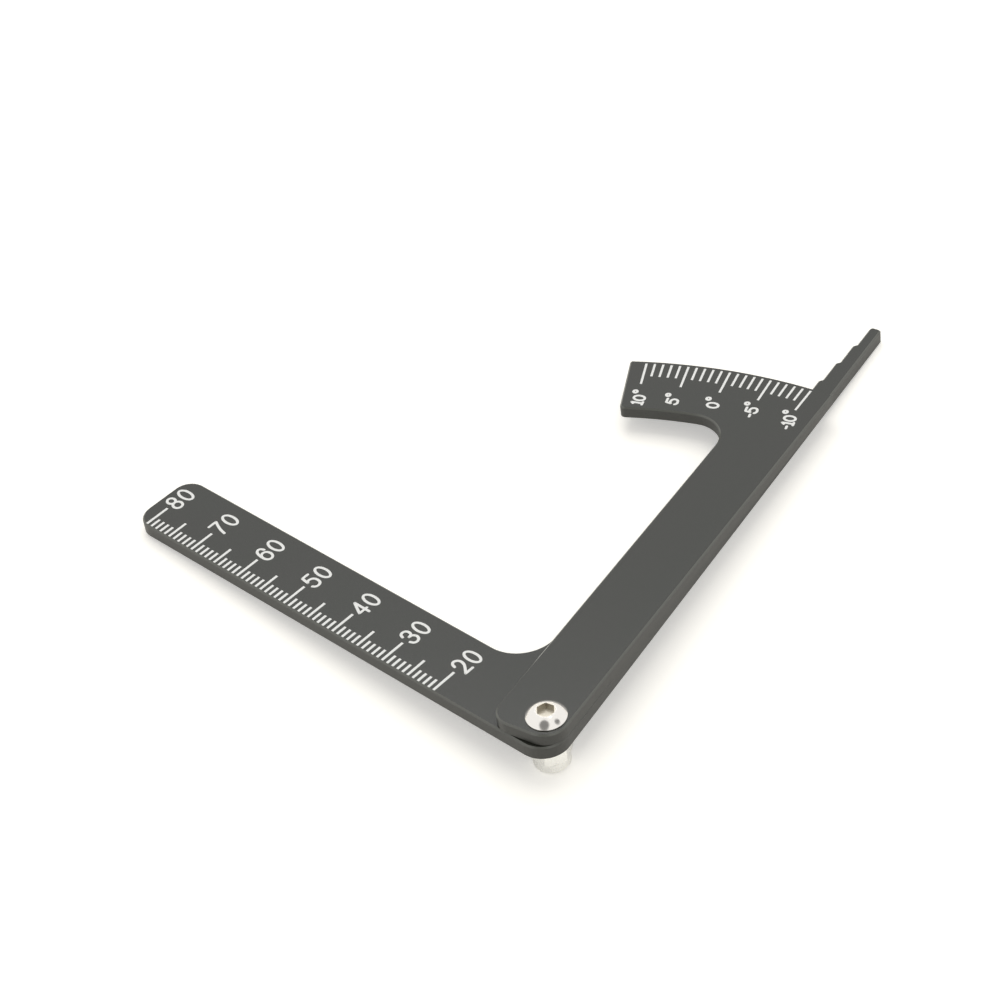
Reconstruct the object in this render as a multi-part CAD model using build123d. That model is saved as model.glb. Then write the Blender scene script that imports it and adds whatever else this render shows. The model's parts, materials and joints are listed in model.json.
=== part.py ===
from build123d import *
import math
import os

# Camber gauge: two flat plates that pivot on one screw, lying face up.
# The ruler plate is an L: its ruler arm stands on a level board, and its upright ends in a
# pointer with a stepped tip. The sector arm lies on top of it, leans against the wheel, and
# carries the degree scale that the pointer reads.
# The origin is the middle of the base edge, the long outer edge of the ruler arm, at mid
# thickness. X runs along that edge towards the pivot, Y runs up from it, and Z comes out of
# the face that carries the scales.

# Pivot
pivot_height = 4.45
pivot_from_middle = 38.2
screw_diameter = 3.0
screw_length = 8.0
screw_end_chamfer = 0.3
pivot_clearance = 0.05
running_gap = 0.02
hole_diameter = screw_diameter + 2 * pivot_clearance

# Ruler plate
ruler_thickness = 2.2
ruler_arm_width = 11.45
ruler_arm_reach = 80.1
ruler_end_base_radius = 3.0
ruler_end_inner_radius = 3.0
ruler_corner_radius = 4.0
ruler_inner_radius = 5.9
upright_angle = 100.55
upright_edge_offset = 3.4
upright_base_width = 11.45
upright_taper_start = 16.0
upright_taper_end = 62.0

# Pointer and its stepped tip, a gauge for gaps
pointer_reach = 97.45
step_starts = [82.0, 87.0, 92.0]
step_drop = 0.5
step_run = 0.5
tip_radius = 0.6

# Sector arm
sector_thickness = 2.0
arm_edge_offset = 3.4
arm_width = 10.5
arm_foot = 3.7
arm_foot_left_radius = 2.8
arm_foot_right_radius = 3.4
sector_outer_radius = 77.6
sector_inner_radius = 65.85
sector_root_radius = 5.0
sector_tip_radius = 0.8
sector_swing_past_scale = 2.0

# Pose in which the gauge lies: the arm has swung close to the minus ten mark
arm_angle = 99.6
scale_zero_from_arm = 10.0

# Scales, cut as shallow grooves
mark_depth = 0.08
ruler_zero = 2.5
ruler_first_mark = 20
ruler_last_mark = 80
ruler_mark_width = 0.42
ruler_mark_foot = 0.27
ruler_mark_lengths = {10: 4.25, 5: 3.5, 1: 1.75}
degree_mark_width = 0.36
degree_mark_outer_radius = 76.9
degree_mark_lengths = {5: 5.1, 1: 3.1}
degree_range = 10

# Broken edges of both plates, wide on the face and slight on the underside
edge_break = 0.25
underside_break = 0.1

# Button head of the pivot screw
head_diameter = 5.8
head_height = 1.2
head_rim = 0.15
head_flat_diameter = 3.0
socket_width = 2.3
socket_depth = 1.0
socket_angle = 12.0

# Self-locking nut
nut_width = 5.5
nut_height = 4.5
nut_hex_height = 2.75
nut_collar_diameter = 5.4
nut_lip_diameter = 3.9
nut_lip_thickness = 0.35
nut_seat_diameter = 5.1
nut_chamfer_height = 0.4
nut_collar_round = 0.45
insert_height = 1.2
insert_bore = 3.0
nut_angle = 3.0

ruler_underside = -ruler_thickness / 2
ruler_face = ruler_thickness / 2
sector_underside = ruler_face + running_gap
sector_face = sector_underside + sector_thickness
head_seat = sector_face + running_gap
pivot = Vector(pivot_from_middle, pivot_height, 0)


def direction(angle):
    """Unit vector in the plane of the plates."""
    return Vector(math.cos(math.radians(angle)), math.sin(math.radians(angle)), 0)


class ArmAxes:
    """Places on an arm: across to its right and along it, measured from the pivot."""

    def __init__(self, angle):
        self.along = direction(angle)
        self.across = direction(angle - 90)

    def point(self, across, along):
        return pivot + self.across * across + self.along * along

    def point_at_height(self, across, height):
        """Where the line at one distance across the arm reaches a height over the base edge."""
        along = (height - pivot.Y - self.across.Y * across) / self.along.Y
        return self.point(across, along)


def fillet_near(sketch, corner, radius):
    """Round the one corner of a flat outline that lies nearest to a point."""
    vertex = sketch.vertices().sort_by_distance(corner)[0]
    return fillet(vertex, radius)


def plate(outline, thickness, underside):
    """A plate cut from sheet, with the outer edges of both its faces broken."""
    solid = extrude(Plane.XY.offset(underside) * outline, thickness)
    top = solid.faces().sort_by(Axis.Z)[-1]
    solid = chamfer(top.outer_wire().edges(), edge_break)
    bottom = solid.faces().sort_by(Axis.Z)[0]
    return chamfer(bottom.outer_wire().edges(), underside_break)


def pivot_hole(underside, thickness):
    hole = Circle(hole_diameter / 2)
    return extrude(Plane((pivot.X, pivot.Y, underside)) * hole, thickness)


def mark(start, along, length, width, surface):
    """One scale mark: a straight groove from its outer end inwards."""
    middle = start + along * (length / 2)
    frame = Plane(origin=(middle.X, middle.Y, surface), x_dir=along, z_dir=(0, 0, 1))
    return extrude(frame * Rectangle(length, width), -mark_depth)


def rank(value, lengths):
    """Length of the mark at a value: the longest rank that divides it."""
    return next(lengths[step] for step in sorted(lengths, reverse=True) if value % step == 0)


def pointer_edge(axes):
    """Left edge of the pointer and its tip: each step makes the tip narrower."""
    points = [axes.point(0, upright_taper_end)]
    for number, start in enumerate(step_starts):
        points.append(axes.point(number * step_drop, start))
        points.append(axes.point((number + 1) * step_drop, start + step_run))
    points.append(axes.point(len(step_starts) * step_drop, pointer_reach))
    return points


def ruler_outline():
    axes = ArmAxes(upright_angle)
    left = upright_edge_offset - upright_base_width
    right_foot = axes.point_at_height(upright_edge_offset, 0)
    inner_corner = axes.point_at_height(left, ruler_arm_width)
    end_base = Vector(pivot.X - ruler_arm_reach, 0, 0)
    end_inner = Vector(pivot.X - ruler_arm_reach, ruler_arm_width, 0)
    tip_right = axes.point(upright_edge_offset, pointer_reach)
    steps = pointer_edge(axes)
    points = [end_base, right_foot, tip_right] + steps[::-1]
    points += [axes.point(left, upright_taper_start), inner_corner, end_inner]
    outline = make_face(Polyline(*points, close=True))
    outline = fillet_near(outline, end_base, ruler_end_base_radius)
    outline = fillet_near(outline, end_inner, ruler_end_inner_radius)
    outline = fillet_near(outline, right_foot, ruler_corner_radius)
    outline = fillet_near(outline, inner_corner, ruler_inner_radius)
    outline = fillet_near(outline, steps[-1], tip_radius)
    return fillet_near(outline, tip_right, tip_radius)


def ruler_marks():
    marks = []
    for value in range(ruler_first_mark, ruler_last_mark + 1):
        foot = Vector(pivot.X + ruler_zero - value, ruler_mark_foot, 0)
        length = rank(value, ruler_mark_lengths)
        marks.append(mark(foot, Vector(0, 1, 0), length, ruler_mark_width, ruler_face))
    return marks


def make_ruler_plate():
    solid = plate(ruler_outline(), ruler_thickness, ruler_underside)
    solid -= pivot_hole(ruler_underside, ruler_thickness)
    return solid - ruler_marks()


def sector_outline():
    axes = ArmAxes(arm_angle)
    left = arm_edge_offset - arm_width
    half_span = degree_range + sector_swing_past_scale
    left_angle = arm_angle + scale_zero_from_arm + half_span
    right_along = math.sqrt(sector_outer_radius ** 2 - arm_edge_offset ** 2)
    root_along = math.sqrt(sector_inner_radius ** 2 - left ** 2)
    right_top = axes.point(arm_edge_offset, right_along)
    left_top = pivot + direction(left_angle) * sector_outer_radius
    left_bottom = pivot + direction(left_angle) * sector_inner_radius
    root = axes.point(left, root_along)
    right_top_angle = arm_angle - math.degrees(math.atan2(arm_edge_offset, right_along))
    root_angle = arm_angle - math.degrees(math.atan2(left, root_along))
    outer_middle = pivot + direction((right_top_angle + left_angle) / 2) * sector_outer_radius
    inner_middle = pivot + direction((root_angle + left_angle) / 2) * sector_inner_radius
    foot_left = axes.point(left, -arm_foot)
    foot_right = axes.point(arm_edge_offset, -arm_foot)
    edges = [
        Line(foot_right, right_top),
        ThreePointArc(right_top, outer_middle, left_top),
        Line(left_top, left_bottom),
        ThreePointArc(left_bottom, inner_middle, root),
        Line(root, foot_left),
        Line(foot_left, foot_right),
    ]
    outline = make_face(edges)
    outline = fillet_near(outline, root, sector_root_radius)
    outline = fillet_near(outline, left_bottom, sector_tip_radius)
    outline = fillet_near(outline, left_top, sector_tip_radius / 2)
    outline = fillet_near(outline, foot_left, arm_foot_left_radius)
    return fillet_near(outline, foot_right, arm_foot_right_radius)


def degree_marks():
    marks = []
    for value in range(-degree_range, degree_range + 1):
        outward = direction(arm_angle + scale_zero_from_arm + value)
        start = pivot + outward * degree_mark_outer_radius
        length = rank(value, degree_mark_lengths)
        marks.append(mark(start, outward * -1, length, degree_mark_width, sector_face))
    return marks


def make_sector_arm():
    solid = plate(sector_outline(), sector_thickness, sector_underside)
    solid -= pivot_hole(sector_underside, sector_thickness)
    return solid - degree_marks()


def make_pivot_screw():
    """Button-head screw with a hexagon socket: the head is a low dome over a short rim."""
    rim = head_diameter / 2
    rise = head_height - head_rim
    flat = head_flat_diameter / 2
    crown = (rim ** 2 - flat ** 2 - rise ** 2) / (2 * rise)
    dome_radius = math.hypot(rim, crown)
    dome_middle = (rim + flat) / 2
    dome_rise = math.sqrt(dome_radius ** 2 - dome_middle ** 2) - crown
    shank = screw_diameter / 2
    with BuildPart() as screw:
        with BuildSketch(Plane.XZ):
            with BuildLine():
                Polyline(
                    (0, head_height),
                    (0, -screw_length),
                    (shank - screw_end_chamfer, -screw_length),
                    (shank, -screw_length + screw_end_chamfer),
                    (shank, 0),
                    (rim, 0),
                    (rim, head_rim),
                )
                ThreePointArc((rim, head_rim), (dome_middle, head_rim + dome_rise), (flat, head_height))
                Line((flat, head_height), (0, head_height))
            make_face()
        revolve(axis=Axis.Z)
        with BuildSketch(Plane.XY.offset(head_height)):
            RegularPolygon(socket_width / 2, 6, major_radius=False, rotation=socket_angle)
        extrude(amount=-socket_depth, mode=Mode.SUBTRACT)
    return Pos(pivot.X, pivot.Y, head_seat) * screw.part


def corner_cone():
    """Turned shape that takes the corners off the hexagon at its seat and at its collar."""
    corner = nut_width / math.cos(math.radians(30)) / 2
    points = [
        (0, 0),
        (nut_seat_diameter / 2, 0),
        (corner, nut_chamfer_height),
        (corner, nut_hex_height - nut_chamfer_height),
        (nut_seat_diameter / 2, nut_hex_height),
        (0, nut_hex_height),
    ]
    return revolve(Plane.XZ * make_face(Polyline(*points, close=True)), Axis.Z)


def make_nut():
    """Hexagon with a round collar, its rim turned in over the insert, seat side up."""
    bore = screw_diameter / 2
    collar = nut_collar_diameter / 2
    lip = nut_lip_diameter / 2
    hexagon = extrude(RegularPolygon(nut_width / 2, 6, major_radius=False), nut_hex_height)
    hexagon &= corner_cone()
    ring = Pos(0, 0, nut_hex_height) * extrude(Circle(collar), nut_height - nut_hex_height)
    ring = fillet(ring.edges().group_by(Axis.Z)[-1], nut_collar_round)
    body = hexagon + ring
    insert_start = nut_height - nut_lip_thickness - insert_height
    body -= extrude(Circle(bore), nut_height)
    body -= Pos(0, 0, insert_start) * extrude(Circle(lip), nut_height - insert_start)
    return Pos(pivot.X, pivot.Y, ruler_underside) * (Rot(180, 0, nut_angle) * body)


def make_nut_insert():
    ring = extrude(Circle(nut_lip_diameter / 2) - Circle(insert_bore / 2), insert_height)
    start = nut_height - nut_lip_thickness - insert_height
    return Pos(pivot.X, pivot.Y, ruler_underside - start - insert_height) * ring


def write(name, solid):
    solid.label = name
    export_step(solid, os.path.join("parts", name + ".step"))


os.makedirs("parts", exist_ok=True)
write("ruler_plate", make_ruler_plate())
write("sector_arm", make_sector_arm())
write("pivot_screw", make_pivot_screw())
write("lock_nut", make_nut())
write("nut_insert", make_nut_insert())
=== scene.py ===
import json
import math

import bpy
from mathutils import Matrix, Vector


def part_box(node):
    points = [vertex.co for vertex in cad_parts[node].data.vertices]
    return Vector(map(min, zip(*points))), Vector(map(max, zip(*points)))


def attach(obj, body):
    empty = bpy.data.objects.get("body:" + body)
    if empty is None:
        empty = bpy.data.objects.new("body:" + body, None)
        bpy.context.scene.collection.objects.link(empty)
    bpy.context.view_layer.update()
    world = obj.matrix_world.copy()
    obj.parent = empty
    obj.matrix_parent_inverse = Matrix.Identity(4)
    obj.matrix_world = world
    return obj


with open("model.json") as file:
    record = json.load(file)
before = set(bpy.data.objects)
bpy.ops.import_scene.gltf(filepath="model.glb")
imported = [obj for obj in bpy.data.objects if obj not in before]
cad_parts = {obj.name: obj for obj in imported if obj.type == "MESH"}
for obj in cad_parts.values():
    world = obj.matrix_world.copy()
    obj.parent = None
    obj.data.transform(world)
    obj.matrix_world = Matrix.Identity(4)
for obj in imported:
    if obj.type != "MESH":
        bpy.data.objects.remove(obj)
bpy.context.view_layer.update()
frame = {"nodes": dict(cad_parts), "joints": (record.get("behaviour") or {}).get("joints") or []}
print("frame loaded")

mm = 0.001  # sizes below are in millimetres, the scene is in metres

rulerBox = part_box("ruler_plate")
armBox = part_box("sector_arm")
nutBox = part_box("lock_nut")
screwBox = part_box("pivot_screw")
rulerFace = rulerBox[1][2]  # height of the face with the millimetre scale
armFace = armBox[1][2]  # height of the face with the degree scale
pivot = Vector(frame["joints"][0]["pos_m"])


def linearColour(text):  # sRGB hex to the linear colour that the shaders take
    channels = [int(text[place:place + 2], 16) / 255 for place in (1, 3, 5)]
    linear = [c / 12.92 if c <= 0.04045 else ((c + 0.055) / 1.055) ** 2.4 for c in channels]
    return (*linear, 1.0)


def addNode(tree, kind, settings=None, links=None):
    node = tree.nodes.new(kind)
    for name, value in (settings or {}).items():
        if hasattr(node, str(name)):
            setattr(node, name, value)
        else:
            node.inputs[name].default_value = value
    for name, socket in (links or {}).items():
        tree.links.new(socket, node.inputs[name])
    return node


def newMaterial(name):
    material = bpy.data.materials.new(name)
    material.use_nodes = True
    tree = material.node_tree
    tree.nodes.clear()
    return material, tree


def finishMaterial(tree, shader):
    addNode(tree, "ShaderNodeOutputMaterial", links={"Surface": shader.outputs[0]})


# Black anodised aluminium: sheet blasted with fine beads, then dyed and sealed. It looks near
# black where nothing bright is mirrored and soft grey where the pale room is.
anodised = {
    "face": "#262A21",
    "faceWarm": "#2B2A24",
    "wall": "#2F302C",
    "wallPit": "#1E1F1B",
    # edge: painted highlight, a lighter colour laid on the 45-degree chamfers where they catch the light
    "edge": "#5E5F58",
    "ior": 1.6,  # sealed oxide film
    "faceRoughness": 0.24,
    "wallRoughness": 0.4,
    "blastGrain": 0.22,  # real pits are about 0.05, drawn coarser so that they show
    "blastHeight": 0.004,
    "cloud": 14.0,
    "cutterMark": 0.35,
    "pit": 0.3,
}


def anodisedMaterial():
    s = anodised
    material, tree = newMaterial("blackAnodisedAluminium")
    place = addNode(tree, "ShaderNodeTexCoord").outputs["Object"]
    normal = addNode(tree, "ShaderNodeNewGeometry").outputs["True Normal"]
    tilt = addNode(tree, "ShaderNodeSeparateXYZ", links={0: normal}).outputs["Z"]
    upright = addNode(tree, "ShaderNodeMath", {"operation": "ABSOLUTE"}, {0: tilt}).outputs[0]
    wall = addNode(tree, "ShaderNodeMapRange", {"From Min": 0.6, "From Max": 0.3}, {"Value": upright})
    chamferHighlightMask = addNode(tree, "ShaderNodeMath", {"operation": "COMPARE", 1: 0.707, 2: 0.08}, {0: upright})

    # Slow clouding of the dye over the flat faces
    cloud = addNode(tree, "ShaderNodeTexNoise", {"Scale": 1 / (s["cloud"] * mm), "Detail": 3.0},
                    {"Vector": place})
    face = addNode(tree, "ShaderNodeMix",
                   {"data_type": "RGBA", 6: linearColour(s["face"]), 7: linearColour(s["faceWarm"])},
                   {0: cloud.outputs["Fac"]})

    # Cut walls: pits and upright cutter marks
    stretch = addNode(tree, "ShaderNodeMapping", {"Scale": (1, 1, 0.2)}, {"Vector": place})
    cutter = addNode(tree, "ShaderNodeTexNoise", {"Scale": 1 / (s["cutterMark"] * mm), "Detail": 2.0},
                     {"Vector": stretch.outputs[0]})
    pit = addNode(tree, "ShaderNodeTexNoise", {"Scale": 1 / (s["pit"] * mm), "Detail": 2.0},
                  {"Vector": place})
    pitted = addNode(tree, "ShaderNodeMapRange", {"From Min": 0.62, "From Max": 0.74},
                     {"Value": pit.outputs["Fac"]})
    side = addNode(tree, "ShaderNodeMix",
                   {"data_type": "RGBA", 6: linearColour(s["wall"]), 7: linearColour(s["wallPit"])},
                   {0: pitted.outputs[0]})
    body = addNode(tree, "ShaderNodeMix", {"data_type": "RGBA"},
                   {0: wall.outputs[0], 6: face.outputs[2], 7: side.outputs[2]})
    # Painted highlight: the chamfers get the lighter edge colour, standing in for the light they catch
    withPaintedHighlight = addNode(tree, "ShaderNodeMix", {"data_type": "RGBA", 7: linearColour(s["edge"])},
                    {0: chamferHighlightMask.outputs[0], 6: body.outputs[2]})

    blast = addNode(tree, "ShaderNodeTexNoise", {"Scale": 1 / (s["blastGrain"] * mm), "Detail": 2.0},
                    {"Vector": place})
    relief = addNode(tree, "ShaderNodeMix", {"data_type": "FLOAT"},
                     {0: wall.outputs[0], 2: blast.outputs["Fac"], 3: cutter.outputs["Fac"]})
    bump = addNode(tree, "ShaderNodeBump", {"Strength": 1.0, "Distance": s["blastHeight"] * mm},
                   {"Height": relief.outputs[0]})
    roughness = addNode(tree, "ShaderNodeMapRange",
                        {"To Min": s["faceRoughness"], "To Max": s["wallRoughness"]},
                        {"Value": wall.outputs[0]})
    shader = addNode(tree, "ShaderNodeBsdfPrincipled", {"IOR": s["ior"]},
                     {"Base Color": withPaintedHighlight.outputs[2], "Roughness": roughness.outputs[0],
                      "Normal": bump.outputs[0]})
    finishMaterial(tree, shader)
    return material


# White marking paint, wiped into the grooves: flat and slightly grainy.
whitePaint = {
    "colour": "#F4F4F0",
    "thin": "#DADAD4",
    "roughness": 0.6,
    "grain": 0.3,
}


def whitePaintMaterial():
    s = whitePaint
    material, tree = newMaterial("whiteMarkingPaint")
    place = addNode(tree, "ShaderNodeTexCoord").outputs["Object"]
    grain = addNode(tree, "ShaderNodeTexNoise", {"Scale": 1 / (s["grain"] * mm), "Detail": 2.0},
                    {"Vector": place})
    thin = addNode(tree, "ShaderNodeMapRange", {"From Min": 0.6, "From Max": 0.85},
                   {"Value": grain.outputs["Fac"]})
    colour = addNode(tree, "ShaderNodeMix",
                     {"data_type": "RGBA", 6: linearColour(s["colour"]), 7: linearColour(s["thin"])},
                     {0: thin.outputs[0]})
    shader = addNode(tree, "ShaderNodeBsdfPrincipled", {"Roughness": s["roughness"]},
                     {"Base Color": colour.outputs[2]})
    finishMaterial(tree, shader)
    return material


# Stainless steel, turned and polished: a bright mirror with a faint ring grain.
stainless = {
    "colour": "#F2EEE8",
    "socket": "#C8C2B5",  # broached, so dull; its darker colour is painted shade inside the recess
    "socketRadius": 1.34,
    "roughness": 0.14,
    "socketRoughness": 0.45,
    "ring": 0.12,
    "ringHeight": 0.0006,
}


def stainlessMaterial():
    s = stainless
    material, tree = newMaterial("polishedStainlessSteel")
    place = addNode(tree, "ShaderNodeTexCoord").outputs["Object"]
    centred = addNode(tree, "ShaderNodeMapping", {"Location": (-pivot.x, -pivot.y, 0)}, {"Vector": place})
    rings = addNode(tree, "ShaderNodeTexWave",
                    {"wave_type": "RINGS", "rings_direction": "Z", "Scale": 1 / (s["ring"] * mm * 2 * math.pi),
                     "Distortion": 1.0},
                    {"Vector": centred.outputs[0]})
    bump = addNode(tree, "ShaderNodeBump", {"Strength": 0.6, "Distance": s["ringHeight"] * mm},
                   {"Height": rings.outputs["Fac"]})
    flatPlace = addNode(tree, "ShaderNodeVectorMath", {"operation": "MULTIPLY", 1: (1, 1, 0)},
                        {0: centred.outputs[0]})
    reach = addNode(tree, "ShaderNodeVectorMath", {"operation": "LENGTH"}, {0: flatPlace.outputs[0]})
    socketShadeAndDullness = addNode(tree, "ShaderNodeMath", {"operation": "LESS_THAN", 1: s["socketRadius"] * mm},
                     {0: reach.outputs["Value"]})
    # Painted shade: the socket's walls take the darker socket colour, for the shade inside the recess; their
    # higher roughness is the dull broached finish
    colour = addNode(tree, "ShaderNodeMix",
                     {"data_type": "RGBA", 6: linearColour(s["colour"]), 7: linearColour(s["socket"])},
                     {0: socketShadeAndDullness.outputs[0]})
    roughness = addNode(tree, "ShaderNodeMapRange",
                        {"To Min": s["roughness"], "To Max": s["socketRoughness"]},
                        {"Value": socketShadeAndDullness.outputs[0]})
    shader = addNode(tree, "ShaderNodeBsdfPrincipled", {"Metallic": 1.0},
                     {"Base Color": colour.outputs[2], "Roughness": roughness.outputs[0],
                      "Normal": bump.outputs[0]})
    finishMaterial(tree, shader)
    return material


# Steel with bright zinc plate: lighter and softer than the screw, a little uneven.
zinc = {
    "colour": "#FAFAF7",
    "roughLow": 0.2,
    "roughHigh": 0.34,
    "patch": 1.2,
}


def zincMaterial():
    s = zinc
    material, tree = newMaterial("zincPlatedSteel")
    place = addNode(tree, "ShaderNodeTexCoord").outputs["Object"]
    patch = addNode(tree, "ShaderNodeTexNoise", {"Scale": 1 / (s["patch"] * mm), "Detail": 3.0},
                    {"Vector": place})
    roughness = addNode(tree, "ShaderNodeMapRange", {"To Min": s["roughLow"], "To Max": s["roughHigh"]},
                        {"Value": patch.outputs["Fac"]})
    shader = addNode(tree, "ShaderNodeBsdfPrincipled",
                     {"Base Color": linearColour(s["colour"]), "Metallic": 1.0},
                     {"Roughness": roughness.outputs[0]})
    finishMaterial(tree, shader)
    return material


# Natural nylon: milky white, waxy, lets a little light in.
nylon = {
    "colour": "#E4E5DE",
    "roughness": 0.42,
    "subsurface": 0.2,
    "depth": 0.4,
    "grain": 0.4,
}


def nylonMaterial():
    s = nylon
    material, tree = newMaterial("naturalNylon")
    place = addNode(tree, "ShaderNodeTexCoord").outputs["Object"]
    grain = addNode(tree, "ShaderNodeTexNoise", {"Scale": 1 / (s["grain"] * mm)}, {"Vector": place})
    bump = addNode(tree, "ShaderNodeBump", {"Strength": 0.3, "Distance": 0.01 * mm},
                   {"Height": grain.outputs["Fac"]})
    shader = addNode(tree, "ShaderNodeBsdfPrincipled",
                     {"Base Color": linearColour(s["colour"]), "Roughness": s["roughness"],
                      "Subsurface Weight": s["subsurface"], "Subsurface Scale": s["depth"] * mm},
                     {"Normal": bump.outputs[0]})
    finishMaterial(tree, shader)
    return material


def dress(node, material):
    piece = frame["nodes"][node]
    if not piece.material_slots:
        piece.data.materials.append(material)
    for slot in piece.material_slots:
        slot.material = material


paint = whitePaintMaterial()
sheet = anodisedMaterial()
dress("ruler_plate", sheet)
dress("sector_arm", sheet)
dress("pivot_screw", stainlessMaterial())
dress("lock_nut", zincMaterial())
dress("nut_insert", nylonMaterial())
print("materials made")


def plainMesh(source, name):  # turns what an object looks like now into a plain mesh piece
    depsgraph = bpy.context.evaluated_depsgraph_get()
    data = bpy.data.meshes.new_from_object(source.evaluated_get(depsgraph), depsgraph=depsgraph)
    bpy.data.objects.remove(source)
    piece = bpy.data.objects.new(name, data)
    bpy.context.scene.collection.objects.link(piece)
    return piece


def setInput(modifier, name, value):
    for item in modifier.node_group.interface.items_tree:
        if item.item_type == "SOCKET" and item.in_out == "INPUT" and item.name == name:
            modifier[item.identifier] = value


# Both scales are rows of bars. The tree numbers the bars, picks each one's length from its
# number, and sets them along a line or around the pivot.
def scaleTree(name, onArc):
    tree = bpy.data.node_groups.new(name, "GeometryNodeTree")
    tree.interface.new_socket("Geometry", in_out="OUTPUT", socket_type="NodeSocketGeometry")
    sizes = ["Start", "Pitch", "Radius", "Width", "Thickness", "Short", "Middle", "Long"]
    counts = ["Count", "First", "Middle every", "Long every"]
    for size in sizes:
        tree.interface.new_socket(size, in_out="INPUT", socket_type="NodeSocketFloat")
    for count in counts:
        tree.interface.new_socket(count, in_out="INPUT", socket_type="NodeSocketInt")
    tree.interface.new_socket("Corner", in_out="INPUT", socket_type="NodeSocketVector")
    tree.interface.new_socket("Material", in_out="INPUT", socket_type="NodeSocketMaterial")
    given = addNode(tree, "NodeGroupInput").outputs

    points = addNode(tree, "GeometryNodeMeshLine", {"mode": "OFFSET", "Offset": (0, 0, 0)},
                     {"Count": given["Count"]})
    index = addNode(tree, "GeometryNodeInputIndex").outputs[0]
    value = addNode(tree, "ShaderNodeMath", {"operation": "ADD"}, {0: index, 1: given["First"]}).outputs[0]

    length = given["Short"]
    for every, chosen in (("Middle every", "Middle"), ("Long every", "Long")):
        rest = addNode(tree, "ShaderNodeMath", {"operation": "FLOORED_MODULO"}, {0: value, 1: given[every]})
        whole = addNode(tree, "ShaderNodeMath", {"operation": "LESS_THAN", 1: 0.5}, {0: rest.outputs[0]})
        length = addNode(tree, "GeometryNodeSwitch", {"input_type": "FLOAT"},
                         {"Switch": whole.outputs[0], "False": length, "True": given[chosen]}).outputs[0]

    step = addNode(tree, "ShaderNodeMath", {"operation": "MULTIPLY_ADD"},
                   {0: index, 1: given["Pitch"], 2: given["Start"]}).outputs[0]
    if onArc:
        across = addNode(tree, "ShaderNodeMath", {"operation": "COSINE"}, {0: step})
        along = addNode(tree, "ShaderNodeMath", {"operation": "SINE"}, {0: step})
        ray = addNode(tree, "ShaderNodeCombineXYZ", links={"X": across.outputs[0], "Y": along.outputs[0]})
        offset = addNode(tree, "ShaderNodeVectorMath", {"operation": "SCALE"},
                         {0: ray.outputs[0], "Scale": given["Radius"]}).outputs[0]
        turn = addNode(tree, "ShaderNodeMath", {"operation": "ADD", 1: math.pi / 2}, {0: step}).outputs[0]
    else:
        offset = addNode(tree, "ShaderNodeCombineXYZ", links={"X": step}).outputs[0]
        turn = addNode(tree, "ShaderNodeValue").outputs[0]
    place = addNode(tree, "ShaderNodeVectorMath", {"operation": "ADD"}, {0: given["Corner"], 1: offset})
    placed = addNode(tree, "GeometryNodeSetPosition",
                     links={"Geometry": points.outputs[0], "Position": place.outputs[0]})
    rotation = addNode(tree, "ShaderNodeCombineXYZ", links={"Z": turn})
    scale = addNode(tree, "ShaderNodeCombineXYZ",
                    links={"X": given["Width"], "Y": length, "Z": given["Thickness"]})
    cube = addNode(tree, "GeometryNodeMeshCube")
    bar = addNode(tree, "GeometryNodeTransform", {"Translation": (0, 0.5, -0.5)},
                  {"Geometry": cube.outputs[0]})
    bars = addNode(tree, "GeometryNodeInstanceOnPoints",
                   links={"Points": placed.outputs[0], "Instance": bar.outputs[0],
                          "Rotation": rotation.outputs[0], "Scale": scale.outputs[0]})
    real = addNode(tree, "GeometryNodeRealizeInstances", links={"Geometry": bars.outputs[0]})
    painted = addNode(tree, "GeometryNodeSetMaterial",
                      links={"Geometry": real.outputs[0], "Material": given["Material"]})
    addNode(tree, "NodeGroupOutput", links={0: painted.outputs[0]})
    return tree


def makeScale(name, tree, inputs):
    source = bpy.data.objects.new(name + "Source", bpy.data.meshes.new(name))
    bpy.context.scene.collection.objects.link(source)
    modifier = source.modifiers.new("scale", "NODES")
    modifier.node_group = tree
    for key, value in inputs.items():
        setInput(modifier, key, value)
    return plainMesh(source, name)


# Millimetre scale on the ruler arm, read from the pivot end
rulerScale = {
    "first": 20,
    "last": 80,
    "zero": 2.5,  # the scale's zero, past the pivot
    "foot": 0.27,  # outer ends of the marks, in from the base edge
    "width": 0.42,
    "short": 1.75,
    "middle": 3.5,
    "long": 4.25,
    "groove": 0.08,
    "proud": 0.01,  # keeps the paint's top clear of the metal
}


def makeRulerScale():
    s = rulerScale
    return makeScale("ruler_scale_paint", scaleTree("rulerScale", False), {
        "Start": pivot.x + (s["zero"] - s["first"]) * mm,
        "Pitch": -mm,
        "Width": s["width"] * mm,
        "Thickness": (s["groove"] + s["proud"]) * mm,
        "Short": s["short"] * mm,
        "Middle": s["middle"] * mm,
        "Long": s["long"] * mm,
        "Count": s["last"] - s["first"] + 1,
        "First": s["first"],
        "Middle every": 5,
        "Long every": 10,
        "Corner": (0, s["foot"] * mm, rulerFace + s["proud"] * mm),
        "Material": paint,
    })


# Degree scale on the sector, read from the pointer's left edge
degreeScale = {
    "range": 10,
    "zeroDirection": 109.6,  # of the zero mark, seen from the pivot, as the arm lies
    "radius": 76.9,
    "width": 0.36,
    "short": 3.1,
    "long": 5.1,
    "groove": 0.08,
    "proud": 0.01,
}


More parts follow.
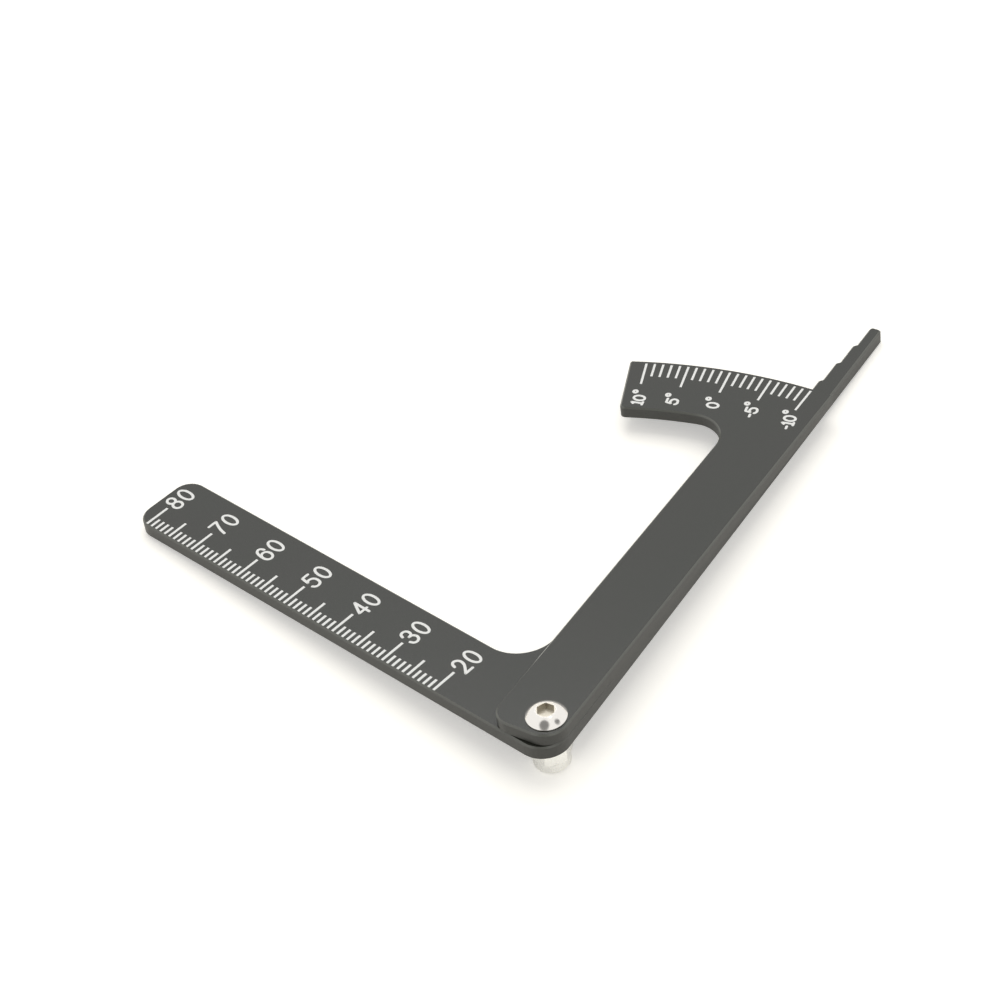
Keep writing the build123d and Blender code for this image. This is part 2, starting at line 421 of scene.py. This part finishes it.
def makeDegreeScale():
    s = degreeScale
    return makeScale("degree_scale_paint", scaleTree("degreeScale", True), {
        "Start": math.radians(s["zeroDirection"] - s["range"]),
        "Pitch": math.radians(1),
        "Radius": s["radius"] * mm,
        "Width": s["width"] * mm,
        "Thickness": (s["groove"] + s["proud"]) * mm,
        "Short": s["short"] * mm,
        "Middle": s["long"] * mm,
        "Long": s["long"] * mm,
        "Count": 2 * s["range"] + 1,
        "First": -s["range"],
        "Middle every": 5,
        "Long every": 5,
        "Corner": (pivot.x, pivot.y, armFace + s["proud"] * mm),
        "Material": paint,
    })


# Every figure is drawn as pen strokes: points in a box one wide and one high, joined by a smooth
# line, or by a straight one where there are only two.
def loop(x, y, wide, high):
    turns = [2 * math.pi * step / 12 for step in range(12)]
    points = [(x + wide * math.cos(turn), y + high * math.sin(turn)) for turn in turns]
    return points + points[:1]


figures = {
    "0": [loop(0.5, 0.5, 0.5, 0.5)],
    "1": [[(0.26, 0.82), (0.5, 1)], [(0.5, 1), (0.5, 0)], [(0.24, 0), (0.76, 0)]],
    "2": [[(0.03, 0.72), (0.17, 0.92), (0.48, 1), (0.82, 0.9), (0.95, 0.7), (0.8, 0.45), (0.4, 0.2), (0.02, 0)],
          [(0.02, 0), (1, 0)]],
    "3": [[(0.03, 0.77), (0.17, 0.94), (0.48, 1), (0.8, 0.93), (0.92, 0.76), (0.8, 0.58), (0.42, 0.53)],
          [(0.42, 0.53), (0.82, 0.47), (1, 0.27), (0.84, 0.07), (0.48, 0), (0.16, 0.07), (0, 0.25)]],
    "4": [[(0.76, 0), (0.76, 1)], [(0.76, 1), (-0.03, 0.28)], [(-0.03, 0.28), (1, 0.28)]],
    "5": [[(0.94, 1), (0.18, 1)], [(0.18, 1), (0.06, 0.55)],
          [(0.06, 0.55), (0.26, 0.64), (0.54, 0.65), (0.87, 0.55), (1, 0.32), (0.86, 0.08), (0.48, 0),
           (0.15, 0.05), (-0.02, 0.18)]],
    "6": [[(0.94, 0.77), (0.8, 0.94), (0.52, 1), (0.22, 0.9), (0.05, 0.66), (0, 0.34)],
          loop(0.5, 0.32, 0.5, 0.32)],
    "7": [[(0, 1), (1, 1)], [(1, 1), (0.68, 0.66), (0.44, 0.34), (0.3, 0)]],
    "8": [loop(0.5, 0.765, 0.42, 0.235), loop(0.5, 0.265, 0.5, 0.265)],
    "-": [[(0.28, 0.46), (0.72, 0.46)]],
}


def penTree():  # lays a flat rounded line of paint along each stroke
    tree = bpy.data.node_groups.new("penStrokes", "GeometryNodeTree")
    tree.interface.new_socket("Geometry", in_out="OUTPUT", socket_type="NodeSocketGeometry")
    tree.interface.new_socket("Geometry", in_out="INPUT", socket_type="NodeSocketGeometry")
    for size in ("Half width", "Flatness", "Height"):
        tree.interface.new_socket(size, in_out="INPUT", socket_type="NodeSocketFloat")
    tree.interface.new_socket("Material", in_out="INPUT", socket_type="NodeSocketMaterial")
    given = addNode(tree, "NodeGroupInput").outputs

    curve = addNode(tree, "GeometryNodeMeshToCurve", links={"Mesh": given["Geometry"]})
    smooth = addNode(tree, "GeometryNodeCurveSplineType", {"spline_type": "CATMULL_ROM"},
                     {"Curve": curve.outputs[0]})
    fine = addNode(tree, "GeometryNodeSetSplineResolution", {"Resolution": 4}, {0: smooth.outputs[0]})
    pen = addNode(tree, "GeometryNodeCurvePrimitiveCircle", {"Resolution": 12},
                  {"Radius": given["Half width"]})
    line = addNode(tree, "GeometryNodeCurveToMesh", links={0: fine.outputs[0], 1: pen.outputs[0]})
    ends = addNode(tree, "GeometryNodeCurveEndpointSelection")
    ball = addNode(tree, "GeometryNodeMeshUVSphere", {"Segments": 12, "Rings": 6},
                   {"Radius": given["Half width"]})
    balls = addNode(tree, "GeometryNodeInstanceOnPoints",
                    links={"Points": fine.outputs[0], "Selection": ends.outputs[0],
                           "Instance": ball.outputs[0]})
    both = addNode(tree, "GeometryNodeJoinGeometry", links={0: line.outputs[0]})
    tree.links.new(balls.outputs[0], both.inputs[0])
    flat = addNode(tree, "ShaderNodeCombineXYZ", {"X": 1.0, "Y": 1.0}, {"Z": given["Flatness"]})
    lift = addNode(tree, "ShaderNodeCombineXYZ", links={"Z": given["Height"]})
    pressed = addNode(tree, "GeometryNodeTransform",
                      links={"Geometry": both.outputs[0], "Scale": flat.outputs[0],
                             "Translation": lift.outputs[0]})
    real = addNode(tree, "GeometryNodeRealizeInstances", links={0: pressed.outputs[0]})
    painted = addNode(tree, "GeometryNodeSetMaterial",
                      links={"Geometry": real.outputs[0], "Material": given["Material"]})
    addNode(tree, "NodeGroupOutput", links={0: painted.outputs[0]})
    return tree


penStrokes = penTree()


def drawFigure(strokes, wide, high, place, points, edges):  # adds one figure's strokes, in place
    for stroke in strokes:
        first = len(points)
        points += [place @ Vector(((x - 0.5) * wide * mm, (y - 0.5) * high * mm, 0)) for x, y in stroke]
        edges += [(n, n + 1) for n in range(first, len(points) - 1)]


def paintStrokes(name, points, edges, s, height):
    data = bpy.data.meshes.new(name)
    data.from_pydata(points, edges, [])
    source = bpy.data.objects.new(name + "Source", data)
    bpy.context.scene.collection.objects.link(source)
    modifier = source.modifiers.new("pen", "NODES")
    modifier.node_group = penStrokes
    setInput(modifier, "Half width", s["stroke"] / 2 * mm)
    setInput(modifier, "Flatness", s["proud"] / (s["stroke"] / 2))
    setInput(modifier, "Height", height)
    setInput(modifier, "Material", paint)
    return plainMesh(source, name)


rulerNumbers = {
    "high": 2.95,  # from the middle of the top stroke to the middle of the bottom one
    "wide": 1.46,
    "stroke": 0.44,
    "pitch": 2.29,
    "firstDigit": 6.0,  # middle of the tens digit, up from the base edge
    "proud": 0.012,
}


def makeRulerNumbers():
    s = rulerNumbers
    points, edges = [], []
    for value in range(rulerScale["first"], rulerScale["last"] + 1, 10):
        x = pivot.x + (rulerScale["zero"] - value) * mm
        for number, digit in enumerate(str(value)):
            y = (s["firstDigit"] + number * s["pitch"]) * mm
            place = Matrix.Translation((x, y, 0)) @ Matrix.Rotation(math.pi / 2, 4, "Z")
            drawFigure(figures[digit], s["wide"], s["high"], place, points, edges)
    return paintStrokes("ruler_numbers", points, edges, s, rulerFace)


degreeNumbers = {
    "high": 1.74,
    "wide": 1.16,
    "stroke": 0.42,
    "halfPitch": {"0": 0.72, "5": 0.75, "1": 0.43, "-": 0.55},
    "ringRadius": 0.3,
    "ringFromDigit": (1.38, 1.1),
    "direction": 111.0,  # all five read the same way, about along the zero mark
    # Middle of each last digit, from the pivot: out along the zero mark, and to its left
    "spots": {-10: (68.6, -12.3), -5: (69.0, -6.1), 0: (68.6, 0.0), 5: (67.9, 6.3), 10: (67.4, 11.5)},
    "proud": 0.012,
}


def makeDegreeNumbers():
    s = degreeNumbers
    points, edges = [], []
    zeroMark = Matrix.Translation((pivot.x, pivot.y, 0)) @ Matrix.Rotation(
        math.radians(degreeScale["zeroDirection"]), 4, "Z")
    lean = Matrix.Rotation(math.radians(s["direction"] - degreeScale["zeroDirection"]), 4, "Z")
    for value, (out, left) in s["spots"].items():
        text = str(value)
        place = zeroMark @ Matrix.Translation((out * mm, left * mm, 0)) @ lean
        ring = loop(0.5 + s["ringFromDigit"][0], 0.5 + s["ringFromDigit"][1], s["ringRadius"], s["ringRadius"])
        drawFigure([ring], 1, 1, place, points, edges)
        for number in range(len(text) - 1, -1, -1):
            drawFigure(figures[text[number]], s["wide"], s["high"], place, points, edges)
            if number:
                step = s["halfPitch"][text[number]] + s["halfPitch"][text[number - 1]]
                place = place @ Matrix.Translation((-step * mm, 0, 0))
    return paintStrokes("degree_numbers", points, edges, s, armFace)


for piece, body in ((makeRulerScale(), "base"), (makeRulerNumbers(), "base"),
                    (makeDegreeScale(), "arm"), (makeDegreeNumbers(), "arm")):
    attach(piece, body)
print("scales and numbers made")


# Floor: the gauge lies on the nut's end and on the far ends of its two arms, so it leans a
# few degrees, and the floor here leans instead.
floorSettings = {
    "colour": "#F7F3E9",
    "glow": 0.4,  # added where the camera sees the floor itself
    "mirrorGlow": 0.24,  # added where metal mirrors it
    "size": 6.0,
    "nutRim": 2.25,  # radius of the ring that the nut stands on
    "rulerTouch": (0.9, 10.5),  # where the ruler's end touches: in from the box's side, and up
    "tipTouch": (23.1, 0.5),  # where the pointer's tip touches: across, and in from the box's top
    "clearance": 0.02,
}


def floorUp(low, rulerEnd, tipEnd):
    up = (rulerEnd - low).cross(tipEnd - low).normalized()
    return up if up.z > 0 else -up


def makeFloor():
    s = floorSettings
    inset, height = s["rulerTouch"]
    rulerEnd = Vector((rulerBox[0][0] + inset * mm, height * mm, rulerBox[0][2]))
    across, inset = s["tipTouch"]
    tipEnd = Vector((across * mm, rulerBox[1][1] - inset * mm, rulerBox[0][2]))
    low = Vector((pivot.x, pivot.y, nutBox[0][2]))
    up = floorUp(low, rulerEnd, tipEnd)
    low -= Vector((up.x, up.y, 0)).normalized() * s["nutRim"] * mm
    up = floorUp(low, rulerEnd, tipEnd)
    resting = [frame["nodes"][name].data.vertices for name in ("ruler_plate", "lock_nut")]
    sunk = min((vertex.co - low).dot(up) for vertices in resting for vertex in vertices)
    data = bpy.data.meshes.new("floor")
    half = s["size"] / 2
    corners = [(-half, -half, 0), (half, -half, 0), (half, half, 0), (-half, half, 0)]
    data.from_pydata(corners, [], [(0, 1, 2, 3)])
    turn = up.to_track_quat("Z", "Y").to_matrix().to_4x4()
    data.transform(Matrix.Translation(low + up * (sunk - s["clearance"] * mm)) @ turn)
    floor = bpy.data.objects.new("floor", data)
    bpy.context.scene.collection.objects.link(floor)
    material, tree = newMaterial("paleFloor")
    diffuse = addNode(tree, "ShaderNodeBsdfDiffuse", {"Color": linearColour(s["colour"])})
    path = addNode(tree, "ShaderNodeLightPath")
    strength = addNode(tree, "ShaderNodeMapRange", {"To Min": s["mirrorGlow"], "To Max": s["glow"]},
                       {"Value": path.outputs["Is Camera Ray"]})
    glow = addNode(tree, "ShaderNodeEmission", links={"Strength": strength.outputs[0]})
    both = addNode(tree, "ShaderNodeAddShader", links={0: diffuse.outputs[0], 1: glow.outputs[0]})
    seen = addNode(tree, "ShaderNodeMath", {"operation": "MAXIMUM"},
                   {0: path.outputs["Is Camera Ray"], 1: path.outputs["Is Glossy Ray"]})
    mixed = addNode(tree, "ShaderNodeMixShader",
                    links={0: seen.outputs[0], 1: diffuse.outputs[0], 2: both.outputs[0]})
    finishMaterial(tree, mixed)
    floor.data.materials.append(material)


makeFloor()
print("floor laid")


# Soft studio light: a pale room and one broad lamp overhead. Metal mirrors two darker things in
# the room, in front of the gauge and to its right.
light = {
    "room": 0.55,
    "darkThings": ((22, 55, 20), (114, 45, 10)),  # azimuth, elevation and half width, in degrees
    "darkness": 0.25,
    "edge": 4,  # degrees over which they fade
    "lampSize": 0.7,
    "lampHeight": 0.9,
    "lampPower": 3.6,
    "lampAside": (-0.15, 0.25),
}


def compass(azimuth, elevation):  # direction: azimuth 0 is in front of the base edge, 90 past the pivot
    azimuth, elevation = math.radians(azimuth), math.radians(elevation)
    return Vector((math.sin(azimuth) * math.cos(elevation), -math.cos(azimuth) * math.cos(elevation),
                   math.sin(elevation)))


def makeLight():
    s = light
    world = bpy.data.worlds.new("paleRoom")
    bpy.context.scene.world = world
    world.use_nodes = True
    tree = world.node_tree
    tree.nodes.clear()
    toward = addNode(tree, "ShaderNodeTexCoord").outputs["Generated"]
    shade = addNode(tree, "ShaderNodeMath", {"operation": "ADD", 0: 1.0, 1: 0.0})
    for azimuth, elevation, halfWidth in s["darkThings"]:
        facing = addNode(tree, "ShaderNodeVectorMath",
                         {"operation": "DOT_PRODUCT", 1: compass(azimuth, elevation)}, {0: toward})
        inner, outer = (math.cos(math.radians(halfWidth + change)) for change in (-s["edge"], s["edge"]))
        dark = addNode(tree, "ShaderNodeMapRange",
                       {"interpolation_type": "SMOOTHSTEP", "From Min": outer, "From Max": inner,
                        "To Min": 1.0, "To Max": s["darkness"]},
                       {"Value": facing.outputs["Value"]})
        shade = addNode(tree, "ShaderNodeMath", {"operation": "MULTIPLY"},
                        {0: shade.outputs[0], 1: dark.outputs[0]})
    path = addNode(tree, "ShaderNodeLightPath")
    mirrored = addNode(tree, "ShaderNodeMix", {"data_type": "FLOAT", 2: s["room"]},
                       {0: path.outputs["Is Glossy Ray"], 3: shade.outputs[0]})
    strength = addNode(tree, "ShaderNodeMix", {"data_type": "FLOAT", 3: 1.0},
                       {0: path.outputs["Is Camera Ray"], 2: mirrored.outputs[0]})
    room = addNode(tree, "ShaderNodeBackground", {"Color": (1, 1, 1, 1)}, {"Strength": strength.outputs[0]})
    addNode(tree, "ShaderNodeOutputWorld", links={"Surface": room.outputs[0]})
    lamp = bpy.data.lights.new("overheadLamp", "AREA")
    lamp.shape = "SQUARE"
    lamp.size = s["lampSize"]
    lamp.energy = s["lampPower"]
    holder = bpy.data.objects.new("overheadLamp", lamp)
    holder.location = (s["lampAside"][0], s["lampAside"][1], s["lampHeight"])
    holder.rotation_euler = (-holder.location).to_track_quat("-Z", "Y").to_euler()
    bpy.context.scene.collection.objects.link(holder)


makeLight()
print("lights set")


camera = {
    "lens": 92.46,
    "target": (3.11, 33.79, 3.12),
    "distance": 380.6,
    "azimuth": 47.54,  # from in front of the base edge, round to its pivot end
    "elevation": 40.50,
    "roll": 8.19,
}


def makeCamera():
    s = camera
    roll = math.radians(s["roll"])
    back = compass(s["azimuth"], s["elevation"])
    side = Vector((0, 0, 1)).cross(back).normalized()
    top = back.cross(side)
    right = side * math.cos(roll) - top * math.sin(roll)
    up = top * math.cos(roll) + side * math.sin(roll)
    data = bpy.data.cameras.new("camera")
    data.lens = s["lens"]
    data.clip_start = 0.01
    holder = bpy.data.objects.new("camera", data)
    spot = (Vector(s["target"]) + back * s["distance"]) * mm
    holder.matrix_world = Matrix.Translation(spot) @ Matrix((right, up, back)).transposed().to_4x4()
    bpy.context.scene.collection.objects.link(holder)
    bpy.context.scene.camera = holder


makeCamera()
bpy.context.scene.view_settings.view_transform = "Standard"
print("camera placed")
